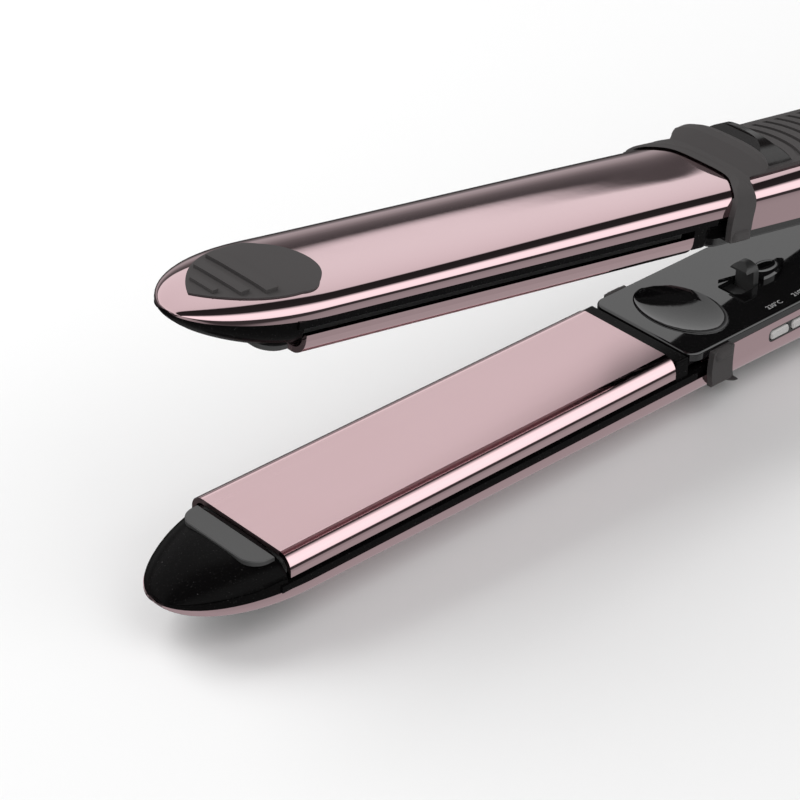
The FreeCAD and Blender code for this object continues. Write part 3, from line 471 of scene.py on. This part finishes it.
# ---------------------------------------------------------------- studio
@dataclass
class Studio:
    """Floor, soft light and camera."""

    azimuth: float = -132.41
    elevation: float = 32.77
    roll: float = 0.36
    distance: float = 0.6606
    lens: float = 139.87
    aim_ahead_of_hinge: float = 0.1755
    aim_shift: tuple[float, float] = (0.019937, 0.000472)
    floor_size: float = 6.0
    tent: tuple[tuple[float, float], ...] = (
        (-180.0, 0.25),
        (-170.0, 0.06),
        (-132.0, 0.06),
        (-112.0, 0.46),
        (-48.0, 0.46),
        (-35.0, 0.40),
        (-25.0, 0.33),
        (-22.0, 0.05),
        (-5.0, 0.05),
        (-1.0, 1.45),
        (30.0, 1.55),
        (58.0, 1.45),
        (78.0, 0.03),
        (118.0, 0.02),
        (121.0, 0.88),
        (139.0, 0.95),
        (157.8, 1.02),
        (158.4, 0.06),
        (163.0, 0.16),
        (170.0, 0.42),
        (176.0, 0.50),
        (180.0, 0.25),
    )

    ambient: float = 0.44
    lamps: tuple[tuple[str, tuple[float, float, float], float, float], ...] = (
        ("key_lamp", (-0.35, 0.95, 1.05), 1.1, 15.0),
        ("fill_lamp", (0.1, -0.9, 1.3), 1.2, 6.5),
    )

    def build(self) -> None:
        """Make the floor, world light, lamps and camera."""
        self._floor()
        self._world()
        self._lamps()
        self._camera()
        log.info("studio ready")

    def _floor(self) -> None:
        """Lay a plain pale floor."""
        bpy.ops.mesh.primitive_plane_add(size=self.floor_size, location=(0, 0, -0.0002))
        floor = bpy.context.object
        floor.name = "floor"
        paper = bpy.data.materials.new("floor_paper")
        tree = Tree(paper)
        tree.surface({"Base Color": (0.86, 0.86, 0.86), "Roughness": 0.9, "Specular IOR Level": 0.1})
        floor.data.materials.append(paper)
        floor.visible_glossy = False

    def _world(self) -> None:
        """Light the tool from a tent whose brightness turns round its length.

        The bearing runs from 0 at the horizon on the key side, over the top at 90, to 180 at the
        far side, and back underneath through negative bearings.
        """
        world = bpy.data.worlds.new("studio_tent")
        bpy.context.scene.world = world
        tree = Tree(world)
        way = tree.add("ShaderNodeTexCoord", output="Generated")
        parts = tree.add("ShaderNodeSeparateXYZ", None, {0: way})
        across = Signal(tree, parts.socket.node.outputs[1])
        up = Signal(tree, parts.socket.node.outputs[2])
        turn = tree.add("ShaderNodeMath", {"operation": "ARCTAN2"}, {0: up, 1: across * -1.0})
        stops = [(bearing / 360.0 + 0.5, self._grey(glow)) for bearing, glow in self.tent]
        glow = tree.ramp(turn * (0.5 / math.pi) + 0.5, stops)
        tent = tree.add("ShaderNodeBackground", None, {"Color": glow, "Strength": 1.0})
        soft = tree.add("ShaderNodeBackground", None, {"Color": self._grey(1.0), "Strength": self.ambient})
        diffuse = tree.add("ShaderNodeLightPath", output="Is Diffuse Ray")
        both = tree.add("ShaderNodeMixShader", None, {0: diffuse, 1: tent, 2: soft})
        tree.add("ShaderNodeOutputWorld", None, {"Surface": both})

    @staticmethod
    def _grey(glow: float) -> Colour:
        """Return a neutral colour of one brightness."""
        return (glow, glow, glow)

    def _lamps(self) -> None:
        """Add soft area lamps that light the floor and the dull pieces, not the mirrors."""
        for name, place, size, power in self.lamps:
            lamp = bpy.data.lights.new(name, "AREA")
            lamp.size = size
            lamp.energy = power
            holder = bpy.data.objects.new(name, lamp)
            bpy.context.scene.collection.objects.link(holder)
            holder.location = place
            holder.rotation_euler = (-Vector(place)).to_track_quat("-Z", "Y").to_euler()
            holder.visible_glossy = False

    def _camera(self) -> None:
        """Place the camera by its bearing about a point ahead of the hinge."""
        turn = math.radians(self.azimuth)
        tilt = math.radians(self.elevation)
        spin = math.radians(self.roll)
        back = Vector((math.cos(tilt) * math.cos(turn), math.cos(tilt) * math.sin(turn), math.sin(tilt)))
        right = Vector((0, 0, 1)).cross(back).normalized()
        up = back.cross(right)
        right, up = (right * math.cos(spin) + up * math.sin(spin),
                     up * math.cos(spin) - right * math.sin(spin))
        hinge = Vector(JOINTS["arm_hinge"]["pos_m"])
        aim = Vector((hinge.x - self.aim_ahead_of_hinge, 0.0, hinge.z))
        place = aim + back * self.distance - right * self.aim_shift[0] - up * self.aim_shift[1]
        camera = bpy.data.cameras.new("camera")
        camera.lens = self.lens
        camera.clip_start = 0.01
        holder = bpy.data.objects.new("camera", camera)
        bpy.context.scene.collection.objects.link(holder)
        axes = Matrix((right, up, back)).transposed()
        holder.matrix_world = Matrix.Translation(place) @ axes.to_4x4()
        bpy.context.scene.camera = holder


JOINTS = {joint["name"]: joint for joint in frame["joints"]}
HINGE = Vector(JOINTS["arm_hinge"]["pos_m"])
OPENING = math.radians(JOINTS["arm_hinge"]["range_deg"][1])


class Side(Enum):
    """The two arms, each with the body that its fixed pieces ride on."""

    LOWER = "lower"
    UPPER = "upper"

    @property
    def body(self) -> str:
        """Name of the arm's body."""
        return self.value + "_arm"

    def placing(self, hinge_x: float) -> Matrix:
        """Return the matrix from the arm's drawing to its place at rest.

        An arm is drawn with x from the nose tip, y across and z outward from the closing plane.

        Args:
            hinge_x: distance from the nose tip to the hinge in the drawing.

        Returns:
            The placing matrix.
        """
        if self is Side.LOWER:
            turn = Matrix.Rotation(math.pi, 4, "X")
        else:
            turn = Matrix.Rotation(OPENING, 4, "Y")
        return Matrix.Translation(HINGE) @ turn @ Matrix.Translation((-hinge_x, 0.0, 0.0))


# ---------------------------------------------------------------- bench work
class Bench:
    """One piece on the bench: a primitive shaped in edit mode, then placed."""

    def __init__(self, name: str, primitive: str, **settings: object) -> None:
        """Add the primitive and go into edit mode with all of it selected.

        Args:
            name: name of the piece.
            primitive: kind of primitive, as in primitive_KIND_add.
            settings: size and place of the primitive.
        """
        bpy.ops.object.select_all(action="DESELECT")
        getattr(bpy.ops.mesh, "primitive_" + primitive + "_add")(**settings)
        self.piece = bpy.context.object
        self.piece.name = name
        self.piece.data.name = name
        bpy.ops.object.transform_apply(location=True, rotation=True, scale=True)
        bpy.ops.object.mode_set(mode="EDIT")

    def pick(self, test: Callable[[Vector], bool], kind: str = "VERT") -> int:
        """Select what passes a test of its place, and nothing else.

        Args:
            test: takes a point, or the middle of an edge or face.
            kind: VERT, EDGE or FACE.

        Returns:
            How many were selected.
        """
        bpy.ops.mesh.select_mode(type=kind)
        bpy.ops.mesh.select_all(action="DESELECT")
        mesh = bmesh.from_edit_mesh(self.piece.data)
        group = {"VERT": mesh.verts, "EDGE": mesh.edges, "FACE": mesh.faces}[kind]
        count = 0
        for item in group:
            if test(self._middle(item)):
                item.select_set(True)
                count += 1
        mesh.select_flush_mode()
        bmesh.update_edit_mesh(self.piece.data)
        return count

    @staticmethod
    def _middle(item: object) -> Vector:
        """Return a vertex's place or the middle of an edge or face."""
        if isinstance(item, bmesh.types.BMVert):
            return item.co
        if isinstance(item, bmesh.types.BMEdge):
            return (item.verts[0].co + item.verts[1].co) / 2
        return item.calc_center_median()

    @staticmethod
    def push(step: Colour) -> None:
        """Extrude the selection and move it by a step."""
        bpy.ops.mesh.extrude_region_move(TRANSFORM_OT_translate={"value": step})

    @staticmethod
    def shift(step: Colour) -> None:
        """Move the selection."""
        bpy.ops.transform.translate(value=step)

    @staticmethod
    def size(scale: Colour, centre: Colour) -> None:
        """Scale the selection about a point."""
        bpy.ops.transform.resize(value=scale, center_override=centre)

    def modify(self, kind: str, **settings: object) -> None:
        """Leave edit mode, then add a modifier with its settings and apply it.

        Args:
            kind: type of the modifier.
            settings: attributes of the modifier.
        """
        if self.piece.mode == "EDIT":
            bpy.ops.object.mode_set(mode="OBJECT")
        bpy.context.view_layer.objects.active = self.piece
        modifier = self.piece.modifiers.new(kind.lower(), kind)
        for name, value in settings.items():
            setattr(modifier, name, value)
        bpy.ops.object.modifier_apply(modifier=modifier.name)

    def carve(self, tool: "Bench") -> None:
        """Cut this piece with another, which is used up.

        Args:
            tool: the cutting piece.
        """
        if tool.piece.mode == "EDIT":
            bpy.ops.object.mode_set(mode="OBJECT")
        self.modify("BOOLEAN", object=tool.piece, operation="DIFFERENCE", solver="EXACT")
        bpy.data.objects.remove(tool.piece)

    def place(self, matrix: Matrix, body: str, finish: Finish, slot: str, crease: float = 30.0) -> None:
        """Finish the piece: shade it, place it, dress it and let it ride.

        Args:
            matrix: from the drawing to the place at rest.
            body: body that it rides on.
            finish: its surface.
            slot: the record's material slot; not used.
            crease: edges sharper than this angle in degrees stay sharp.
        """
        if self.piece.mode == "EDIT":
            bpy.ops.object.mode_set(mode="OBJECT")
        bpy.ops.object.select_all(action="DESELECT")
        self.piece.select_set(True)
        bpy.context.view_layer.objects.active = self.piece
        self.piece.matrix_world = matrix
        bpy.ops.object.transform_apply(location=True, rotation=True, scale=True)
        bpy.ops.object.shade_smooth_by_angle(angle=math.radians(crease))
        self.piece.data.materials.clear()
        self.piece.data.materials.append(finish.material())
        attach(self.piece, body)
        log.info("%s: %d faces on %s", self.piece.name, len(self.piece.data.polygons), body)


# ---------------------------------------------------------------- an arm's outline
@dataclass(frozen=True)
class ArmOutline:
    """Outer form of an arm: straight sides under a rounded crown, closing to the nose."""

    half_width: float = 15.5 * MM
    side_height: float = 8.0 * MM
    nose_length: float = 30.0 * MM
    nose_power: float = 2.2
    crown_nose: float = 4.4 * MM
    crown_collar: float = 5.3 * MM
    crown_handle: float = 7.0 * MM
    crown_tail: float = 7.2 * MM
    crown_profile: float = 0.694
    crown_break_x: float = 140.2 * MM
    handle_x: float = 210.0 * MM
    end_x: float = 262.0 * MM
    hinge_x: float = 268.0 * MM

    @staticmethod
    def eased(x: float, x0: float, x1: float, v0: float, v1: float) -> float:
        """Return a value easing from v0 at x0 to v1 at x1."""
        u = min(max((x - x0) / (x1 - x0), 0.0), 1.0)
        return v0 + (v1 - v0) * u * u * (3 - 2 * u)

    def crown(self, x: float) -> float:
        """Return the crown's height above the straight sides at x."""
        if x < self.crown_break_x:
            return self.eased(x, self.nose_length, self.crown_break_x, self.crown_nose, self.crown_collar)
        if x < self.handle_x:
            return self.eased(x, self.crown_break_x, self.handle_x, self.crown_collar, self.crown_handle)
        return self.eased(x, self.handle_x, self.end_x, self.crown_handle, self.crown_tail)

    def share(self, x: float) -> float:
        """Return the share of the full section reached at x."""
        u = min(max(x / self.nose_length, 0.0), 1.0)
        return (1 - (1 - u) ** self.nose_power) ** 0.5

    def stations(self, first: float, nose_steps: int, body_steps: int) -> list[float]:
        """Return section places, crowding toward the nose tip."""
        span = self.nose_length - first
        nose = [first + span * (1 - math.cos(math.pi / 2 * i / nose_steps)) for i in range(nose_steps)]
        length = self.end_x - self.nose_length
        return nose + [self.nose_length + length * i / body_steps for i in range(body_steps + 1)]

    def crown_line(self, name: str, x: float) -> Bench:
        """Return a bench piece that holds one crown line at x, selected.

        Args:
            name: name of the piece.
            x: place of the line along the arm.

        Returns:
            The piece, in edit mode.
        """
        half = self.half_width
        middle = (x, 0, self.side_height + half / 2)
        line = Bench(name, "plane", size=2 * half, location=middle, rotation=(0, math.pi / 2, 0))
        line.size((1, 1, 0.5), middle)
        line.pick(lambda p: p.z > self.side_height + half * 0.9)
        bpy.ops.mesh.bevel(offset=half, segments=24, profile=self.crown_profile, affect="VERTICES",
                           clamp_overlap=False)
        bpy.ops.mesh.select_all(action="SELECT")
        bpy.ops.mesh.remove_doubles(threshold=CLOSE)
        line.size((1, self.share(x), self.share(x) * self.crown(x) / half), (x, 0, self.side_height))
        bpy.ops.mesh.delete(type="ONLY_FACE")
        line.pick(lambda p: abs(p.y) < half * 0.01 and p.z < self.side_height + CLOSE, "EDGE")
        bpy.ops.mesh.delete(type="EDGE")
        bpy.ops.mesh.select_all(action="SELECT")
        return line

    def skin(self, name: str, stations: list[float]) -> Bench:
        """Return the crown drawn out ring by ring through the stations."""
        line = self.crown_line(name, stations[0])
        for here, after in zip(stations, stations[1:]):
            line.push((after - here, 0, 0))
            wide = self.share(after) / self.share(here)
            tall = wide * self.crown(after) / self.crown(here)
            line.size((1, wide, tall), (after, 0, self.side_height))
        return line


OUTLINE = ArmOutline()


# ---------------------------------------------------------------- shells
@dataclass(frozen=True)
class WallOpening:
    """Round-cornered opening through one side wall of a shell."""

    name: str
    hand: int
    x0: float
    x1: float
    z0: float
    z1: float
    corner: float

    def cutter(self, wall: float) -> Bench:
        """Return a block that cuts the opening.

        Args:
            wall: thickness of the wall.

        Returns:
            The block, rounded along the edges that run through the wall.
        """
        middle = ((self.x0 + self.x1) / 2, self.hand * OUTLINE.half_width, (self.z0 + self.z1) / 2)
        block = Bench(self.name, "cube", size=1.0, location=middle)
        block.size((self.x1 - self.x0, 4 * wall, self.z1 - self.z0), middle)
        block.pick(lambda p: abs(p.y - middle[1]) < wall, "EDGE")
        bpy.ops.mesh.bevel(offset=self.corner, segments=6, affect="EDGES")
        return block


@dataclass
class ArmShell:
    """Mirror-bright outer shell of one arm."""

    side: Side
    wall: float = 1.3 * MM
    parting: float = 3.3 * MM
    step_x: float = 147.0 * MM
    step_length: float = 2.6 * MM
    hinge_space: float = 13.2 * MM
    tip_x: float = 0.16 * MM
    first_x: float = 0.28 * MM
    openings: tuple[WallOpening, ...] = ()

    def build(self) -> None:
        """Model the shell, cut its openings and place it."""
        name = self.side.value + "_shell_skin"
        stations = OUTLINE.stations(self.first_x, 20, 40)
        step_end = self.step_x + self.step_length
        stations = sorted(x for x in stations if not self.step_x - 0.002 < x < step_end + 0.001)
        stations = sorted(stations + [self.step_x, step_end])
        shell = OUTLINE.skin(name, stations)
        self._nose_tip(shell)
        self._side_walls(shell)
        bpy.ops.mesh.select_all(action="SELECT")
        bpy.ops.mesh.remove_doubles(threshold=CLOSE)
        bpy.ops.mesh.normals_make_consistent(inside=False)
        shell.modify("SOLIDIFY", thickness=self.wall, offset=-1.0, use_even_offset=False)
        shell.carve(self._hinge_cylinder())
        for opening in self.openings:
            shell.carve(opening.cutter(self.wall))
        shell.place(self.side.placing(OUTLINE.hinge_x), self.side.body, ROSE_METAL, "rose_shell")
        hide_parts(self.side.value + "_shell")

    def _nose_tip(self, shell: Bench) -> None:
        """Close the tip by drawing the first ring in to a point."""
        shell.pick(lambda p: p.x < self.first_x + CLOSE, "VERT")
        shell.push((self.tip_x - self.first_x, 0, 0))
        bpy.ops.mesh.merge(type="CENTER")

    def _side_walls(self, shell: Bench) -> None:
        """Draw the handle's straight sides down to the parting line, behind a sloped step."""
        edge = OUTLINE.side_height + TOUCHING
        drop = OUTLINE.side_height - self.parting
        shell.pick(lambda p: p.z < edge and p.x > self.step_x - 0.0001 and abs(p.y) > 0.0001, "EDGE")
        shell.push((0, 0, -drop))
        shell.pick(lambda p: p.z < self.parting + 0.0001 and p.x < self.step_x + 0.0001)
        shell.shift((0, 0, drop))

    def _hinge_cylinder(self) -> Bench:
        """Return the space that the knuckles turn in."""
        return Bench("hinge_space", "cylinder", vertices=96, radius=self.hinge_space, depth=0.06,
                     location=(OUTLINE.hinge_x, 0, 0), rotation=(math.pi / 2, 0, 0))


LOWER_OPENINGS = (
    WallOpening("key_opening", 1, 162.85 * MM, 204.95 * MM, 4.95 * MM, 8.25 * MM, 1.3 * MM),
    WallOpening("knob_opening", -1, 166.2 * MM, 174.3 * MM, 4.7 * MM, 7.3 * MM, 0.8 * MM),
)


# ---------------------------------------------------------------- printed marks
@dataclass
class TemperatureMarks:
    """Row of temperatures printed on the lower cover beside the keys."""

    texts: tuple[str, ...] = ("230°C", "210°C", "190°C", "170°C")
    first_x: float = 164.8 * MM
    pitch: float = 8.6 * MM
    y: float = 13.2 * MM
    letter_height: float = 1.9 * MM
    cover_z: float = 1.2 * MM
    lift: float = 0.01 * MM

    def build(self) -> None:
        """Set each mark and lay it on the cover."""
        for i, text in enumerate(self.texts):
            self._mark(text, self.first_x + i * self.pitch)

    def _mark(self, text: str, x: float) -> None:
        """Set one mark with its left end at x in the lower arm's drawing."""
        place = Side.LOWER.placing(OUTLINE.hinge_x) @ Vector((x, self.y, self.cover_z - self.lift))
        bpy.ops.object.select_all(action="DESELECT")
        bpy.ops.object.text_add(location=place)
        letters = bpy.context.object
        letters.data.body = text
        letters.data.size = self.letter_height
        letters.data.resolution_u = 2
        bpy.ops.object.convert(target="MESH")
        piece = bpy.context.object
        piece.name = "mark_" + text[:3]
        bpy.ops.object.transform_apply(location=True, rotation=True, scale=True)
        piece.data.materials.clear()
        piece.data.materials.append(PRINT.material())
        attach(piece, Side.LOWER.body)
        log.info("%s: %d faces", piece.name, len(piece.data.polygons))


# ---------------------------------------------------------------- carried-over nodes
@dataclass
class CarriedNodes:
    """Every design node that stays visible, given its finish."""

    special: dict[str, Finish] = field(default_factory=lambda: {
        "lower_thumb_ridge": RIDGE_BLACK,
        "upper_thumb_ridge": RIDGE_BLACK,
        "lower_handle_cover": COVER_BLACK,
        "upper_handle_cover": COVER_BLACK,
        "lock_cowl": COVER_BLACK,
        "lower_plate_frame": NOSE_BLACK,
        "upper_plate_frame": NOSE_BLACK,
    })

    def dress(self) -> None:
        """Give each node the finish of its slot."""
        slots = {part["node"]: part["material_slot"] for part in frame["record"]["subparts"]}
        for name, node in frame["nodes"].items():
            finish = self.special.get(name, SLOT_FINISHES[slots[name]])
            node.data.materials.clear()
            node.data.materials.append(finish.material())
        log.info("dressed %d nodes", len(slots))


def main() -> None:
    """Build the studio and every piece in order."""
    bpy.context.scene.view_settings.view_transform = "Standard"
    Studio().build()
    ArmShell(Side.LOWER, openings=LOWER_OPENINGS).build()
    ArmShell(Side.UPPER).build()
    TemperatureMarks().build()
    CarriedNodes().dress()


if __name__ == "__main__":
    main()
